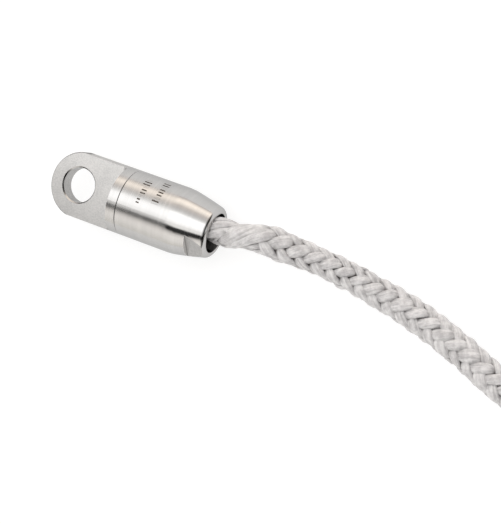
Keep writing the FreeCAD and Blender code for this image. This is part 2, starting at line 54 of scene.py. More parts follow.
# The rope's route, as control points. The tail starts inside the standing rope, where it is buried.
# It crosses through the standing leg at the mouth, goes round the thimble and comes back.
THIMBLE = (0.023, 0.0)
THIMBLE_TURN = 0.0042
THIMBLE_SIDE_X = 0.020  # only the rope's turn round the thimble comes this near the eye
MOUTH_X = 0.0365  # the sleeve's end
THROAT_X = 0.0440  # the two legs have become one rope
SPARE_X = 0.1200  # from here on the rope is spare length, put away as a hank
TAIL_LEG = [
    (0.0560, 0.0016, -0.0008),
    (0.0500, 0.0010, -0.0008),
    (0.0450, 0.0009, -0.0009),
    (0.0415, 0.0014, 0.0001),
    (0.0388, 0.0020, 0.0014),
    (0.0360, 0.0012, 0.0019),
    (0.0325, 0.0004, 0.0023),
    (0.0285, 0.0000, 0.0032),
]
STANDING_LEG = [
    (0.0285, 0.0000, -0.0032),
    (0.0320, 0.0000, -0.0026),
    (0.0350, -0.0003, -0.0022),
    (0.0375, -0.0004, -0.0012),
    (0.0400, 0.0003, 0.0006),
    (0.0425, 0.0014, 0.0016),
    (0.0455, 0.0024, 0.0014),
]
STANDING = [
    (0.0490, 0.0029, 0.0007),
    (0.0540, 0.0023, -0.0001),
    (0.0610, 0.0020, -0.0014),
    (0.0685, 0.0009, -0.0031),
    (0.0770, -0.0008, -0.0043),
    (0.0860, -0.0025, -0.0044),
    (0.0955, -0.0055, -0.0044),
    (0.1045, -0.0092, -0.0044),
    (0.1135, -0.0126, -0.0044),
    (0.1240, -0.0153, -0.0044),
]
HANK_CENTRE_Y = 0.0015
HANK_LEFT = 0.1355
HANK_RIGHT = 0.1985
FOLD = 0.0175  # radius of the hank's folds
LOW = -0.0044  # heights of the hank's two layers
HIGH = 0.0018
TIE_X = 0.167
ROPE_TIP = 0.1385
TURN_POINTS = 12  # control points in a full turn
ROPE_DIAMETER = 0.007


def turn(centre, radius, start, end, place):
    """Control points of an arc: place turns a flat offset and the share of the way into a point."""
    count = max(3, round(abs(end - start) / 360 * TURN_POINTS))
    # The spline runs a little inside its control points, so they stand a little further out
    reach = radius * 8 / (6 + 2 * math.cos(2 * math.pi / TURN_POINTS))
    points = []
    for i in range(count):
        share = (i + 0.5) / count
        angle = math.radians(start + (end - start) * share)
        across = centre[0] + reach * math.cos(angle)
        up = centre[1] + reach * math.sin(angle)
        points.append(place(across, up, share))
    return points


def rope_route():
    route = list(TAIL_LEG)
    route += turn(THIMBLE, THIMBLE_TURN, 75, 285, lambda x, z, _: (x, 0.0, z))
    route += STANDING_LEG + STANDING
    near = HANK_CENTRE_Y - FOLD
    far = HANK_CENTRE_Y + FOLD
    left = (HANK_LEFT, HANK_CENTRE_Y)
    first_right = (HANK_RIGHT + 0.0016, HANK_CENTRE_Y)
    second_right = (HANK_RIGHT - 0.0014, HANK_CENTRE_Y + 0.0004)
    tied = 0.0004  # the ties draw the two layers together by this much
    route += [
        (0.1370, near, LOW),
        (0.1530, near - 0.0003, LOW),
        (TIE_X, near, LOW + tied),
        (0.1820, near - 0.0004, LOW),
        (0.1940, near - 0.0009, LOW),
    ]
    route += turn(first_right, FOLD + 0.0008, -90, 90, lambda x, y, _: (x, y, LOW))
    route += [
        (0.1940, far + 0.0009, LOW),
        (0.1810, far + 0.0006, LOW),
        (TIE_X, far, LOW + tied),
        (0.1520, far + 0.0002, LOW),
        (0.1400, far + 0.0003, LOW),
    ]

    def climbing(x, y, share):
        """The rope climbs onto its first layer and is up before the turn ends."""
        return (x, y, LOW + (HIGH - LOW) * min(1.0, 1.35 * share))

    route += turn(left, FOLD, 90, 270, climbing)
    route += [
        (0.1400, near + 0.0002, HIGH),
        (0.1530, near + 0.0005, HIGH),
        (TIE_X, near, HIGH - tied),
        (0.1820, near + 0.0006, HIGH),
        (0.1920, near + 0.0010, HIGH),
    ]
    route += turn(second_right, FOLD - 0.0009, -90, 90, lambda x, y, _: (x, y, HIGH))
    route += [
        (0.1920, far - 0.0006, HIGH),
        (0.1810, far - 0.0006, HIGH),
        (TIE_X, far, HIGH - tied),
        (0.1540, far + 0.0002, HIGH),
        (ROPE_TIP, far, HIGH),
    ]
    return route


def spline_line(name, points, resolution):
    """Points read from the NURBS spline that has these control points."""
    curve = bpy.data.curves.new(name, "CURVE")
    curve.dimensions = "3D"
    curve.resolution_u = resolution
    spline = curve.splines.new("NURBS")
    spline.points.add(len(points) - 1)
    for point, place in zip(spline.points, points):
        point.co = (*place, 1.0)
    spline.order_u = 3
    spline.use_endpoint_u = True
    holder = bpy.data.objects.new(name, curve)
    mesh = bpy.data.meshes.new_from_object(holder)
    line = np.array([vertex.co for vertex in mesh.vertices], float)
    bpy.data.objects.remove(holder)
    bpy.data.curves.remove(curve)
    bpy.data.meshes.remove(mesh)
    return line


def lengths_along(line):
    steps = np.linalg.norm(np.diff(line, axis=0), axis=1)
    return np.concatenate([[0.0], np.cumsum(steps)])


def unit(vectors):
    return vectors / np.linalg.norm(vectors, axis=-1, keepdims=True)


def frames(line, up, start):
    """Two cross directions carried along a line without twist, from its point start."""
    tangent = unit(np.gradient(line, axis=0))
    normal = np.zeros_like(line)
    for order in (range(start, len(line)), range(start, -1, -1)):
        carried = up
        for i in order:
            carried = carried - tangent[i] * (carried @ tangent[i])
            carried = carried / np.linalg.norm(carried)
            normal[i] = carried
    return normal, np.cross(tangent, normal)


def smooth_mesh(name, points, faces, uvs=None, depths=None):
    mesh = bpy.data.meshes.new(name)
    mesh.from_pydata(points.tolist(), [], faces)
    mesh.polygons.foreach_set("use_smooth", [True] * len(mesh.polygons))
    if uvs is not None:
        layer = mesh.uv_layers.new(name="along")
        corner = np.zeros(len(mesh.loops), int)
        mesh.loops.foreach_get("vertex_index", corner)
        layer.data.foreach_set("uv", uvs[corner].astype(np.float32).ravel())
    if depths is not None:
        mesh.attributes.new("depth", "FLOAT", "POINT").data.foreach_set("value", depths)
    mesh.update()
    piece = bpy.data.objects.new(name, mesh)
    bpy.context.scene.collection.objects.link(piece)
    return piece


def tube_faces(rings, sides, first):
    """Quads of a tube and a fan at each end, for rings of points laid out one after the other."""
    faces = []
    for i in range(rings - 1):
        low = first + i * sides
        high = low + sides
        for j in range(sides):
            k = (j + 1) % sides
            faces.append((low + j, low + k, high + k, high + j))
    last = first + (rings - 1) * sides
    faces.append(tuple(first + j for j in reversed(range(sides))))
    faces.append(tuple(last + j for j in range(sides)))
    return faces


def section_points(centre, side, up, half_width, half_height, sides):
    """Rings of a flattened section about each centre."""
    angle = np.arange(sides) * 2 * math.pi / sides
    across = np.cos(angle)
    rise = np.sign(np.sin(angle)) * np.abs(np.sin(angle)) ** SHOULDER
    ring = (
        centre[:, None, :]
        + side[:, None, :] * (across[None, :] * half_width[:, None])[:, :, None]
        + up[:, None, :] * (rise[None, :] * half_height[:, None])[:, :, None]
    )
    return ring.reshape(-1, 3)


# Braid: one family of strands winds one way and lies outside in three columns along the rope, and
# the other winds back and lies outside in the three columns between them.
COLUMNS = 3
COLUMN_CENTRE = math.radians(47)
STRANDS = 6  # in each of the two families
STRAND_SIDES = 14
STRAND_HEIGHT = 0.215  # half height, as a share of the rope's radius
STRAND_WIDTH = 0.60  # half width, as a share of the room between two strands of a family
STRAND_SINK = 0.155  # how deep a strand goes under, as a share of the rope's radius
SHOULDER = 0.8  # below 1 gives a strand square shoulders
DIVE = 0.40  # how much more sharply a strand goes under than it comes out
SHORT_RUN = 0.006  # the lengths over which strands and yarns change their course
LONG_RUN = 0.008
YARN_RUN = 0.0022
CORE_SIDES = 12
CORE = 0.5  # radius of the closed core under the strands, as a share of the rope's radius
SEEN_STEP = 0.0007
SPARE_STEP = 0.0013
SPLINE_STEPS = 24
TIE_HALF_LENGTH = 0.0045
TIE_PINCH = 0.00045


def rope_landmarks(line, travelled):
    """How far along the rope it passes each landmark: entry is the mouth, on the tail's way in."""
    outward = np.argmax(line[:, 0] < THIMBLE_SIDE_X)

    def passed(x):
        return travelled[outward + np.argmax(line[outward:, 0] > x)]

    return {
        "entry": travelled[np.argmax(line[:, 0] < MOUTH_X)],
        "mouth": passed(MOUTH_X),
        "throat": passed(THROAT_X),
        "spare": passed(SPARE_X),
    }


def rope_radius(s, landmarks):
    """Outer radius of the braid along the rope."""
    entry = landmarks["entry"]
    throat = landmarks["throat"]
    mouth = landmarks["mouth"]
    profile = [
        (0.0, 0.0016),
        (entry - 0.010, 0.0020),
        (entry - 0.005, 0.0025),
        (entry - 0.001, 0.0025),
        (entry + 0.004, 0.00225),
        (mouth - 0.006, 0.00225),
        (mouth, 0.0023),
        (mouth + 0.003, 0.0025),
        (throat - 0.001, 0.00285),
        (throat + 0.0015, 0.0028),
        (throat + 0.0045, 0.0036),
        (throat + 0.007, 0.0038),
        (throat + 0.012, 0.0036),
        (throat + 0.018, 0.0033),
        (throat + 0.025, 0.0034),
        (throat + 0.033, 0.0036),
        (throat + 0.045, 0.0038),
        (throat + 0.22, 0.0036),
        (throat + 0.29, 0.0029),
        (1.0, 0.0029),
    ]
    return np.interp(s, [at for at, _ in profile], [radius for _, radius in profile])


def braid_pitch(s, throat):
    """Length of a strand's full turn: long in the splice, then even."""
    return np.interp(s, [0, throat, throat + 0.016, 1.0], [0.040, 0.032, 0.0225, 0.0225])


def window(s, centre, half):
    """1 within half of a centre and 0 outside it, with soft edges."""
    return np.exp(-(((s - centre) / half) ** 4))


chance = np.random.default_rng(7)


def wander(s, length):
    """A smooth random run of numbers along s, mostly within -1 and 1, that changes over a length."""
    knots = np.arange(-length, s[-1] + 3 * length, length)
    values = chance.normal(0.0, 0.55, len(knots))
    share = (s - knots[0]) / length
    i = share.astype(int)
    t = share - i
    t = t * t * (3 - 2 * t)
    return values[i] * (1 - t) + values[i + 1] * t


def make_braid():
    raw = spline_line("rope_route", rope_route(), SPLINE_STEPS)
    travelled = lengths_along(raw)
    total = travelled[-1]
    landmarks = rope_landmarks(raw, travelled)
    entry, throat, spare = landmarks["entry"], landmarks["throat"], landmarks["spare"]
    stations = [0.0]
    while stations[-1] < total:
        stations.append(stations[-1] + (SEEN_STEP if stations[-1] < spare else SPARE_STEP))
    s = np.array(stations[:-1] + [total])
    line = np.stack([np.interp(s, travelled, raw[:, k]) for k in range(3)], axis=1)
    normal, binormal = frames(line, UP, int(np.searchsorted(s, throat)))

    pinch = TIE_PINCH * window(line[:, 0], TIE_X, TIE_HALF_LENGTH) * (s > spare)
    radius = rope_radius(s, landmarks) - pinch
    pitch = braid_pitch(s, throat)
    phase = np.concatenate([[0.0], np.cumsum(2 * math.pi * np.diff(s) / pitch[:-1])])
    phase = phase - np.interp(throat + 0.05, s, phase)

    # Where the legs cross, and along the tail, the strands that lean one way cover the others
    covered = window(s, throat - 0.0005, 0.0055)
    covered = np.maximum(covered, np.clip((entry + 0.004 - s) / 0.003, 0, 1))

    def strand(family, k):
        """Rings of one strand, which strays a little from its even course."""
        even = family * (phase + k * 2 * math.pi / STRANDS)
        turned = even + 0.11 * wander(s, SHORT_RUN)
        crossing = COLUMNS * (even - COLUMN_CENTRE)
        over = family * np.cos(crossing + family * DIVE * np.cos(crossing))
        over = over * (1.35 - 0.35 * over**2)
        over = over * (1 - covered) - family * covered * 0.9
        half_height = STRAND_HEIGHT * radius * (1 + 0.12 * wander(s, LONG_RUN))
        sunk = STRAND_SINK * radius * (1 - over)
        ride = radius - half_height - sunk + 0.00012 * wander(s, SHORT_RUN)
        out = normal * np.cos(turned)[:, None] + binormal * np.sin(turned)[:, None]
        centre = line + out * ride[:, None]
        along = unit(np.gradient(centre, axis=0))
        flat_side = unit(np.cross(along, out))
        flat_up = unit(np.cross(flat_side, along))
        roll = 0.38 * wander(s, SHORT_RUN)
        side = flat_side * np.cos(roll)[:, None] + flat_up * np.sin(roll)[:, None]
        up = flat_up * np.cos(roll)[:, None] - flat_side * np.sin(roll)[:, None]
        lean = np.cos(np.arctan2(2 * math.pi * ride, pitch))
        room = (2 * math.pi * ride / STRANDS) * lean
        even_width = (STRAND_WIDTH - 0.03 * covered) * room
        half_width = even_width * (1 + 0.18 * wander(s, LONG_RUN))
        yarns = np.stack([wander(s, YARN_RUN) for _ in range(STRAND_SIDES)], axis=1)
        ring = section_points(centre, side, up, half_width, half_height, STRAND_SIDES)
        spread = ring.reshape(len(s), STRAND_SIDES, 3) - centre[:, None, :]
        return (centre[:, None, :] + spread * (1 + 0.07 * yarns)[:, :, None]).reshape(-1, 3)

    points, faces, uvs, depths = [], [], [], []
    first = 0
    around = np.tile(np.arange(STRAND_SIDES) / STRAND_SIDES, len(s))
    far = np.repeat(s / ROPE_DIAMETER, STRAND_SIDES)
    for family in (1, -1):
        for k in range(STRANDS):
            ring = strand(family, k)
            points.append(ring)
            faces += tube_faces(len(s), STRAND_SIDES, first)
            uvs.append(np.stack([far + 3.7 * (k + STRANDS * (family > 0)), around], axis=1))
            # The depth drives the rope's painted shade: deeper points are painted darker, and where
            # one family covers the other the depth is raised a little, so the neck is painted
            # lighter.
            reach = np.linalg.norm(ring.reshape(len(s), -1, 3) - line[:, None, :], axis=2)
            depths.append((reach * ((1 + 0.06 * covered) / radius)[:, None]).ravel())
            first += len(ring)
    # The closed core gets a depth of CORE, so the rope's material paints it in the painted gap shade:
    # a dark core standing for the shade deep inside the braid.
    core = section_points(line, normal, binormal, radius * CORE, radius * CORE, CORE_SIDES)
    points.append(core)
    depths.append(np.full(len(core), CORE))
    faces += tube_faces(len(s), CORE_SIDES, first)
    around = np.tile(np.arange(CORE_SIDES) / CORE_SIDES, len(s))
    uvs.append(np.stack([np.repeat(s, CORE_SIDES), around], axis=1))
    points = np.concatenate(points)
    points[:, 2] = np.maximum(points[:, 2], GROUND)  # the rope flattens where it lies
    piece = smooth_mesh("braided_rope", points, faces, np.concatenate(uvs), np.concatenate(depths))
    return piece, line, total


rope, rope_line, rope_length = make_braid()


# Whipping and sealed tip


def tube(name, line, radius, sides):
    """A round tube along a line."""
    normal, binormal = frames(line, UP, 0)
    angle = np.arange(sides) * 2 * math.pi / sides
    ring = (
        line[:, None, :]
        + normal[:, None, :] * (np.cos(angle) * radius)[None, :, None]
        + binormal[:, None, :] * (np.sin(angle) * radius)[None, :, None]
    )
    far = np.repeat(lengths_along(line) / radius, sides)
    around = np.tile(np.arange(sides) / sides, len(line))
    uvs = np.stack([far, around], axis=1)
    return smooth_mesh(name, ring.reshape(-1, 3), tube_faces(len(line), sides, 0), uvs)


TWINE_SIDES = 8
WHIPPING_LENGTH = 0.0095
WHIPPING_TWINE = 0.00042
WHIPPING_TURNS = 11
WHIPPING_REACH = 0.00268  # from the rope's axis to the twine's
WHIPPING_SWELL = 0.0001
WHIPPING_MARGIN = 0.0006
WHIPPING_STEPS = 28  # points in a turn
TIP_RADIUS = 0.0026
TIP_LENGTH = 0.0011
TIP_INSIDE = 0.0006  # how far the dome's foot lies inside the rope's end
TIP_RINGS = 7
TIP_SIDES = 20


def make_whipping():
    """Wound twine round the rope's end, and a low dome of melted fibre that seals it."""
    end = rope_line[-1]
    far = lengths_along(rope_line)
    begin = rope_line[np.searchsorted(far, far[-1] - WHIPPING_LENGTH)]
    axis = (begin - end) / np.linalg.norm(begin - end)
    side = np.cross(axis, UP)

    share = np.linspace(0, 1, WHIPPING_TURNS * WHIPPING_STEPS)
    angle = share * WHIPPING_TURNS * 2 * math.pi
    reach = WHIPPING_REACH + WHIPPING_SWELL * np.sin(share * math.pi)
    inwards = WHIPPING_MARGIN + share * (WHIPPING_LENGTH - 2 * WHIPPING_MARGIN)
    place = end + axis * inwards[:, None]
    line = place + reach[:, None] * (np.cos(angle)[:, None] * UP + np.sin(angle)[:, None] * side)
    winding = tube("whipping_turns", line, WHIPPING_TWINE, TWINE_SIDES)

    points = []
    for i in range(TIP_RINGS):
        slope = i / (TIP_RINGS - 1) * math.pi / 2
        r = TIP_RADIUS * math.cos(slope) + 0.00005
        ahead = end - axis * (TIP_LENGTH * math.sin(slope) - TIP_INSIDE)
        for j in range(TIP_SIDES):
            a = j * 2 * math.pi / TIP_SIDES
            points.append(ahead + r * (math.cos(a) * UP + math.sin(a) * side))
    faces = tube_faces(TIP_RINGS, TIP_SIDES, 0)
    return winding, smooth_mesh("sealed_tip", np.array(points), faces)


whipping, tip = make_whipping()


# A reef knot's line in millimetres, from the top of the turns: x along the run, y across it, z up
KNOT = [
    (-0.6, -3.9, -1.6),
    (-0.5, -3.0, -0.3),
    (-0.2, -1.7, 0.5),
    (0.8, -0.6, 0.6),
    (1.2, 0.5, 0.7),
    (0.3, 1.2, 0.8),
    (-0.9, 0.8, 1.0),
    (-1.2, -0.3, 1.2),
    (-0.2, -0.9, 1.6),
    (0.9, -0.1, 1.6),
    (0.7, 1.4, 1.1),
    (0.9, 2.7, 0.2),
    (1.5, 3.8, -1.1),
    (1.9, 4.5, -2.4),
]


TIE_TWINE = 0.00055
TIE_TURNS = 5
TIE_STEPS = 48  # points in a turn
TIE_SPACING = 2.04  # from turn to turn, in radii of the twine
TIE_HALF_WIDTH = 0.0031
TIE_HALF_HEIGHT = 0.0028
TIE_LIFT = 0.0001
KNOT_STEPS = 12


def make_ties():
    """A few turns of twine round each run of the hank, finished with a knot on top."""
    pieces = []
    for side, name in ((-1, "near"), (1, "far")):
        y0 = HANK_CENTRE_Y + side * FOLD
        count = TIE_TURNS * TIE_STEPS
        points = []
        for i in range(count + 1):
            share = i / count
            angle = share * TIE_TURNS * 2 * math.pi + math.pi / 2
            x = TIE_X + (share - 0.5) * TIE_TURNS * TIE_SPACING * TIE_TWINE
            layer = HIGH if math.sin(angle) > 0 else LOW
            z = layer + TIE_LIFT + TIE_HALF_HEIGHT * math.sin(angle)
            squared = math.copysign(abs(math.cos(angle)) ** 0.8, math.cos(angle))
            points.append((x, y0 + TIE_HALF_WIDTH * squared, z))
        pieces.append(tube(f"tie_{name}", np.array(points), TIE_TWINE, TWINE_SIDES))
        top = np.array((TIE_X, y0, HIGH + TIE_HALF_WIDTH + TIE_TWINE))
        knot = [top + np.array((x, side * y, z)) * MM for x, y, z in KNOT]
        knot_line = spline_line("knot", knot, KNOT_STEPS)
        pieces.append(tube(f"tie_{name}_knot", knot_line, TIE_TWINE, TWINE_SIDES))
    return pieces


ties = make_ties()


# Materials


class Nodes:
    """A node tree of a material or a world, with short ways to add nodes and to join them."""

    def __init__(self, owner):
        owner.use_nodes = True
        self.owner = owner
        self.tree = owner.node_tree

    def add(self, kind, settings=None, **inputs):
        """A node with settings of its own. Inputs go by name, or by number as i0, i1 and so on."""
        node = self.tree.nodes.new(kind)
        for key, value in (settings or {}).items():
            setattr(node, key, value)
        for key, value in inputs.items():
            self.feed(node, key.replace("_", " "), value)
        return node

    def feed(self, node, key, value):
        numbered = key[0] == "i" and key[1:].isdigit()
        socket = node.inputs[int(key[1:]) if numbered else key]
        if isinstance(value, bpy.types.NodeSocket):
            self.tree.links.new(value, socket)
        else:
            socket.default_value = value

    def math(self, operation, first, second=0.0, third=0.0):
        node = self.add("ShaderNodeMath", {"operation": operation}, i0=first, i1=second, i2=third)
        return node.outputs[0]

    def product(self, first, second):
        return self.math("MULTIPLY", first, second)

    def mixed(self, first, second, share):
        """A weighted sum of two values, with a plain number as the first one's share."""
        return self.math("MULTIPLY_ADD", first, share, self.product(second, 1 - share))

    def ranged(self, value, low, high, to_low, to_high):
        node = self.add("ShaderNodeMapRange", i0=value, i1=low, i2=high, i3=to_low, i4=to_high)
        return node.outputs[0]

    def between(self, value, low, high, soft):
        """1 where low < value < high, with soft edges."""
        rise = self.ranged(value, low - soft, low + soft, 0, 1)
        return self.product(rise, self.ranged(value, high - soft, high + soft, 1, 0))

    def distance(self, x, y, centre_x=0.0):
        """Distance from a centre on the first axis."""
        across = self.math("SUBTRACT", x, centre_x)
        return self.math("SQRT", self.math("MULTIPLY_ADD", across, across, self.product(y, y)))

    def scaled(self, colour, amount):
        node = self.add("ShaderNodeVectorMath", {"operation": "SCALE"}, i0=colour)
        self.feed(node, "Scale", amount)
        return node.outputs[0]

    def noise(self, place, scale, detail=3.0, roughness=0.5, stretch=(1.0, 1.0, 1.0)):
        """Noise over a place, in cells per metre, drawn out along an axis by a small stretch."""
        mapped = self.add("ShaderNodeMapping", i0=place, i3=stretch)
        node = self.add(
            "ShaderNodeTexNoise",
            Vector=mapped.outputs[0],
            Scale=scale,
            Detail=detail,
            Roughness=roughness,
        )
        return node.outputs[0]

    def blend(self, share, first, second, how="MIX"):
        settings = {"data_type": "RGBA", "blend_type": how}
        return self.add("ShaderNodeMix", settings, i0=share, i6=first, i7=second).outputs[2]

    def ramp(self, value, stops):
        """A colour ramp through stops, each a place and a colour."""
        node = self.add("ShaderNodeValToRGB", i0=value)
        elements = node.color_ramp.elements
        while len(elements) < len(stops):
            elements.new(0.5)
        for element, (place, _) in zip(elements, stops):
            element.position = place
        for element, (_, colour) in zip(elements, stops):
            element.color = colour
        return node.outputs[0]

    def bump(self, height, distance, strength=1.0):
        node = self.add("ShaderNodeBump", Height=height, Distance=distance, Strength=strength)
        return node.outputs[0]

    def finish(self, **inputs):
        shader = self.tree.nodes["Principled BSDF"]
        for key, value in inputs.items():
            self.feed(shader, key.replace("_", " "), value)
        return self.owner


def grey(value, warmth=0.0):
    return (value * (1 + warmth), value, value * (1 - warmth), 1.0)


SATIN_BELOW = 0.0112  # the collar's start: the lug plate is satin, the rest is polished
PLATE_CENTRE_X = 0.00045  # centre of the lug's round end
PLATE_RADIUS = 0.00782
HOLE_RIM_RADIUS = 0.00448
RIM_SOFT = 0.00004
NOSE_FROM = 0.0272
NOSE_SOFT = 0.0004
NOSE_SHINE = 0.45  # how rough the nose is beside the cylinder
BORE_RADIUS = 0.00476
FLAT_START = 0.0318
FLAT_DEPTH = 0.006  # from the axis
FLAT_ANGLE = math.radians(138.0)  # from +Y towards +Z
HAIR = 0.00002
# Plain ticks burnt into the sleeve: start and end along it, first and last angle round it
TICK_SPACING = 6.0
TICK_EDGE = (1.45, 1.2)  # degrees from a tick's middle, from where it fades to where it is full
TICKS = [
    (0.0176, 0.0195, 31.0, 47.0),
    (0.0182, 0.0195, 49.0, 65.0),
    (0.0182, 0.0190, 67.0, 79.0),
    (0.0218, 0.0236, 19.0, 35.0),
    (0.0222, 0.0235, 37.0, 59.0),
    (0.0218, 0.0236, 61.0, 71.0),
]
STEEL = 0.50  # the steel's grey
EDGE_TINT = (0.68, 0.68, 0.68, 1.0)


class Steel(Nodes):
    """Stainless steel turned about X, with rings of fine tool marks. Further looks go on top."""

    def __init__(self, name, roughness, streaks, smooth_from=None):
        super().__init__(bpy.data.materials.new(name))
        self.place = self.add("ShaderNodeTexCoord").outputs["Object"]
        self.x, self.y, self.z = self.add("ShaderNodeSeparateXYZ", i0=self.place).outputs
        rings = self.noise(self.place, 5200, 4.0, 0.6, (1.0, 0.02, 0.02))
        broad = self.noise(self.place, 900, 2.0, 0.5, (1.0, 0.05, 0.05))
        smudge = self.noise(self.place, 260, 3.0, 0.5)
        self.marks = self.mixed(broad, rings, 0.4)
        rough = self.ranged(self.marks, 0.3, 0.7, roughness - streaks, roughness + streaks)
        if smooth_from is not None:
            low, high = smooth_from - NOSE_SOFT, smooth_from + NOSE_SOFT
            rough = self.product(rough, self.ranged(self.x, low, high, 1.0, NOSE_SHINE))
        self.rough = self.math("MULTIPLY_ADD", smudge, 0.04, rough)
        tone = self.ranged(self.marks, 0.3, 0.7, 0, 1)
        self.colour = self.blend(tone, grey(STEEL * 0.93, 0.012), grey(STEEL * 1.07, 0.018))
        self.height = self.marks

    def done(self):
        return self.finish(
            Base_Color=self.colour,
            Metallic=1.0,
            Roughness=self.rough,
            Normal=self.bump(self.height, 0.000004),
            Specular_Tint=EDGE_TINT,
        )

    def add_satin_plate(self):
        """Satin below one x, with painted shade: lighter towards +Y and darker towards -Y, a painted
        dark line round the lug's round end and painted shade on the hole's wall, which is also worn
        smooth.
        """
        satin = self.ranged(self.x, SATIN_BELOW, SATIN_BELOW - 0.0002, 0, 1)
        brushed = self.noise(self.place, 3400, 4.0, 0.65, (0.7, 1.0, 1.0))
        cloud = self.noise(self.place, 240, 3.0, 0.55)
        wear = self.ranged(self.mixed(cloud, brushed, 0.3), 0.38, 0.62, 0, 1)
        satin_colour_and_shade = self.blend(wear, grey(STEEL * 0.81, 0.012), grey(STEEL * 1.10, 0.02))
        # Painted light and shade: the satin is painted lighter towards +Y and darker towards -Y.
        satin_colour_and_shade = self.scaled(satin_colour_and_shade, self.ranged(self.y, -0.008, 0.008, 0.90, 1.17))
        rim_edges = (HOLE_RIM_RADIUS + RIM_SOFT, HOLE_RIM_RADIUS - RIM_SOFT)
        rim = self.ranged(self.distance(self.x, self.y), *rim_edges, 0, 1)
        # Painted shade: a dark line round the lug's round end, beyond its rim.
        end_edges = (PLATE_RADIUS - RIM_SOFT, PLATE_RADIUS + RIM_SOFT)
        edge = self.ranged(self.distance(self.x, self.y, PLATE_CENTRE_X), *end_edges, 0, 1)
        edge = self.product(edge, self.ranged(self.x, 0.0008, 0.0004, 0, 1))
        satin_colour_and_shade = self.blend(edge, satin_colour_and_shade, grey(STEEL * 0.5, 0.012))
        # Painted shade on the hole's wall. The smoother finish that the same mask gives below is
        # wear.
        satin_colour_and_shade = self.scaled(satin_colour_and_shade, self.ranged(rim, 0, 1, 1.0, 0.86))
        dull = self.ranged(brushed, 0.3, 0.7, 0.36, 0.48)
        dull = self.math("MULTIPLY_ADD", rim, -0.24, dull)
        polished = self.product(self.math("SUBTRACT", 1.0, satin), self.rough)
        self.rough = self.math("ADD", self.product(satin, dull), polished)
        self.colour = self.blend(satin, self.colour, satin_colour_and_shade)
        lifted = self.math("SUBTRACT", brushed, self.marks)
        self.height = self.math("MULTIPLY_ADD", satin, lifted, self.marks)

    def add_painted_bore_shade(self):
        # Painted shade: the bore's inside is painted near black, for the shade inside it, and made
        # rougher.
        reach = self.distance(self.y, self.z)
        inside = self.ranged(reach, BORE_RADIUS, BORE_RADIUS - 0.0001, 0, 1)
        self.colour = self.blend(inside, self.colour, grey(0.14))
        self.rough = self.math("MULTIPLY_ADD", inside, 0.35, self.rough)

    def add_milled_flats(self):
        """Duller than the turned nose, with a painted highlight on the square shoulder."""
        lifted = self.product(self.z, math.sin(FLAT_ANGLE))
        height = self.math("MULTIPLY_ADD", self.y, math.cos(FLAT_ANGLE), lifted)
        height = self.math("ABSOLUTE", height)
        milled = self.math("GREATER_THAN", height, FLAT_DEPTH - HAIR)
        past = self.math("GREATER_THAN", self.x, FLAT_START + HAIR)
        milled = self.product(milled, past)
        mottle = self.ranged(self.noise(self.place, 2200, 3.0, 0.6), 0.4, 0.6, 0, 1)
        milled_colour = self.blend(mottle, grey(STEEL * 0.76, 0.02), grey(STEEL * 0.90, 0.02))
        self.colour = self.blend(milled, self.colour, milled_colour)
        self.rough = self.math("MULTIPLY_ADD", milled, 0.2, self.rough)
        aside = self.math("ABSOLUTE", self.math("SUBTRACT", self.x, FLAT_START))
        shoulder = self.math("LESS_THAN", aside, HAIR)
        above = self.math("GREATER_THAN", height, FLAT_DEPTH + 0.0002)
        shoulder = self.product(shoulder, above)
        # Painted highlight: the square shoulder's face is given a near-white colour so that it reads
        # light.
        self.colour = self.blend(shoulder, self.colour, grey(0.95, 0.01))

    def add_ticks(self):
        """Groups of short burnt ticks round the sleeve."""
        angle = self.math("DEGREES", self.math("ARCTAN2", self.z, self.y))
        off_middle = self.math("PINGPONG", angle, TICK_SPACING / 2)
        tick = self.ranged(off_middle, *TICK_EDGE, 0, 1)
        patchy = self.ranged(self.noise(self.place, 3000, 3.0, 0.6), 0.35, 0.55, 0.55, 1.0)
        for start, end, first, last in TICKS:
            mask = self.product(tick, self.between(angle, first, last, 0.1))
            mask = self.product(mask, self.between(self.x, start, end, 0.00004))
            mask = self.product(mask, patchy)
            self.colour = self.blend(mask, self.colour, (0.045, 0.032, 0.022, 1))
            self.rough = self.math("MULTIPLY_ADD", mask, 0.3, self.rough)


def eye_steel():
    steel = Steel("satin_steel", 0.22, 0.03)
    steel.add_satin_plate()
    return steel.done()


def sleeve_steel():
    steel = Steel("polished_steel", 0.22, 0.03, smooth_from=NOSE_FROM)
    steel.add_painted_bore_shade()
    steel.add_milled_flats()
    steel.add_ticks()
    return steel.done()


# Painted shade for the gaps between the rope's strands.
PAINTED_GAP_SHADE = (0.09, 0.08, 0.075, 1)


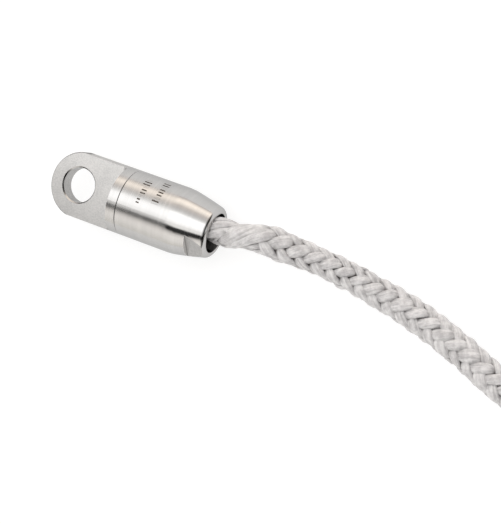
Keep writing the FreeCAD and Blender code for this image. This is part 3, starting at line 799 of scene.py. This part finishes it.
def fibre(name, light, dark, roughness, lines, along_scale, shaded=False):
    """Bundled fibre: lines run along each strand, with worn patches; shaded, it also gets painted
    shade on the strands' deeper sides and painted dark gaps between strands.
    """
    n = Nodes(bpy.data.materials.new(name))
    uv = n.add("ShaderNodeUVMap", {"uv_map": "along"}).outputs[0]
    fine = n.noise(uv, 1.0, 4.0, 0.65, (along_scale, lines, 1.0))
    patch = n.noise(n.add("ShaderNodeTexCoord").outputs["Object"], 600, 3.0, 0.65)
    colour = n.blend(n.ranged(n.mixed(patch, fine, 0.45), 0.41, 0.58, 0, 1), dark, light)
    if shaded:
        depth = n.add("ShaderNodeAttribute", {"attribute_name": "depth"}).outputs["Fac"]
        # Painted shade: the deeper a strand lies the darker it is painted, and the gaps between
        # strands are painted near black.
        shade_depth = n.math("MULTIPLY_ADD", n.math("SUBTRACT", fine, 0.5), 0.1, depth)
        colour = n.scaled(colour, n.ranged(shade_depth, 0.84, 0.97, 0.78, 1.0))
        colour = n.blend(n.ranged(shade_depth, 0.77, 0.86, 0, 1), PAINTED_GAP_SHADE, colour)
    return n.finish(
        Base_Color=colour,
        Roughness=n.ranged(fine, 0.3, 0.7, roughness - 0.08, roughness + 0.08),
        Normal=n.bump(fine, 0.0003, 0.9),
        Sheen_Weight=0.15,
        Sheen_Roughness=0.5,
    )


def rope_fibre():
    light = (0.80, 0.785, 0.785, 1)
    dark = (0.51, 0.495, 0.50, 1)
    return fibre("rope_fibre", light, dark, 0.5, 12.0, 2.0, shaded=True)


def twine_fibre():
    light = (0.62, 0.60, 0.56, 1)
    dark = (0.42, 0.40, 0.37, 1)
    return fibre("waxed_twine", light, dark, 0.45, 8.0, 0.9)


def melted_fibre():
    light = (0.52, 0.50, 0.47, 1)
    dark = (0.38, 0.36, 0.33, 1)
    return fibre("melted_fibre", light, dark, 0.3, 2.0, 1.0)


metal = {
    "eye_body": eye_steel(),
    "sleeve": sleeve_steel(),
    "thimble_pin": Steel("pin_steel", 0.22, 0.05).done(),
    "thimble": Steel("thimble_steel", 0.25, 0.05).done(),
}
for node, steel in metal.items():
    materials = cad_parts[node].data.materials
    materials.clear()
    materials.append(steel)
rope.data.materials.append(rope_fibre())
tip.data.materials.append(melted_fibre())
twine = twine_fibre()
for piece in [whipping, *ties]:
    piece.data.materials.append(twine)

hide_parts("rope_eye", "rope", "rope_hank")
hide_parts("rope_whipping")
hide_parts("hank_ties")
for piece in [rope, whipping, tip, *ties]:
    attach(piece, "eye")


# Floor, light and camera

HALF_FLOOR = 1.5


def make_floor():
    mesh = bpy.data.meshes.new("floor")
    corners = ((-1, -1), (1, -1), (1, 1), (-1, 1))
    places = [(x * HALF_FLOOR, y * HALF_FLOOR, GROUND) for x, y in corners]
    mesh.from_pydata(places, [], [(0, 1, 2, 3)])
    paper = Nodes(bpy.data.materials.new("floor_paper")).finish(
        Base_Color=(0.30, 0.30, 0.30, 1),
        Roughness=0.9,
        Emission_Color=(1, 1, 1, 1),
        Emission_Strength=0.76,
    )
    mesh.materials.append(paper)
    floor = bpy.data.objects.new("floor", mesh)
    bpy.context.scene.collection.objects.link(floor)
    return floor


make_floor()

# Brightness round the fitting's axis, in degrees up from +Y
STRIPS = [
    (0, (0.92, 0.87, 0.84)),
    (5, (1.20, 1.10, 1.01)),
    (11, (1.82, 1.65, 1.48)),
    (18, (1.95, 1.78, 1.60)),
    (25, (1.65, 1.52, 1.38)),
    (35, (1.06, 0.98, 0.91)),
    (46, (0.96, 0.93, 0.91)),
    (54, (1.16, 1.15, 1.13)),
    (58, (1.42, 1.42, 1.41)),
    (63, (2.10, 2.10, 2.10)),
    (88, (2.10, 2.10, 2.10)),
    (99, (1.62, 1.61, 1.59)),
    (109, (1.45, 1.43, 1.40)),
    (112, (0.03, 0.03, 0.03)),
    (125, (0.03, 0.03, 0.03)),
    (129, (0.62, 0.60, 0.57)),
    (135, (1.12, 1.08, 1.04)),
    (145, (1.42, 1.37, 1.31)),
    (160, (1.36, 1.32, 1.27)),
    (180, (1.10, 1.07, 1.01)),
]
# The strips run roughly along the fitting and spread a little towards the eye's end
SPREAD = -0.19
SPREAD_AT_Y = 0.066
# The lamps stand in a row over the fitting, so the dome is darker towards both ends of X
ENDS = [
    (-1, 0.65),
    (-0.72, 0.50),
    (-0.56, 1.0),
    (0.26, 1.0),
    (0.45, 0.45),
    (0.62, 0.06),
    (0.88, 0.06),
    (1, 0.65),
]


def light_studio():
    """A dome with long strips of light. Past the floor's edge the studio looks plain white."""
    sky = Nodes(bpy.data.worlds.new("studio"))
    direction = sky.add("ShaderNodeTexCoord").outputs["Generated"]
    x, y, z = sky.add("ShaderNodeSeparateXYZ", i0=direction).outputs
    share = sky.math("DIVIDE", sky.math("ARCTAN2", z, y), math.pi)
    spread = sky.math("MULTIPLY_ADD", share, SPREAD, SPREAD_AT_Y)
    share = sky.math("MULTIPLY_ADD", x, spread, share)
    strips = sky.ramp(share, [(degrees / 180, (*colour, 1)) for degrees, colour in STRIPS])
    along = sky.math("MULTIPLY_ADD", x, 0.5, 0.5)
    ends = sky.ramp(along, [((at + 1) / 2, (value, value, value, 1)) for at, value in ENDS])
    dome = sky.blend(1.0, strips, ends, "MULTIPLY")
    seen = sky.add("ShaderNodeLightPath").outputs["Is Camera Ray"]
    background = sky.tree.nodes["Background"]
    sky.feed(background, "Color", sky.blend(seen, dome, (1.0, 1.0, 1.0, 1.0)))
    sky.feed(background, "Strength", 1.0)
    return sky.owner


bpy.context.scene.world = light_studio()


def make_camera():
    data = bpy.data.cameras.new("camera")
    data.lens = LENS_MM
    data.sensor_width = SENSOR_MM
    data.clip_start = 0.01
    camera = bpy.data.objects.new("camera", data)
    bpy.context.scene.collection.objects.link(camera)
    forward = (CAMERA_TARGET - CAMERA_PLACE).normalized()
    right = forward.cross(CAMERA_UP).normalized()
    above = right.cross(forward)
    turned = Matrix((right, above, -forward)).transposed()
    camera.matrix_world = Matrix.Translation(CAMERA_PLACE) @ turned.to_4x4()
    return camera


bpy.context.scene.camera = make_camera()
bpy.context.scene.view_settings.view_transform = "Standard"

bpy.context.view_layer.update()
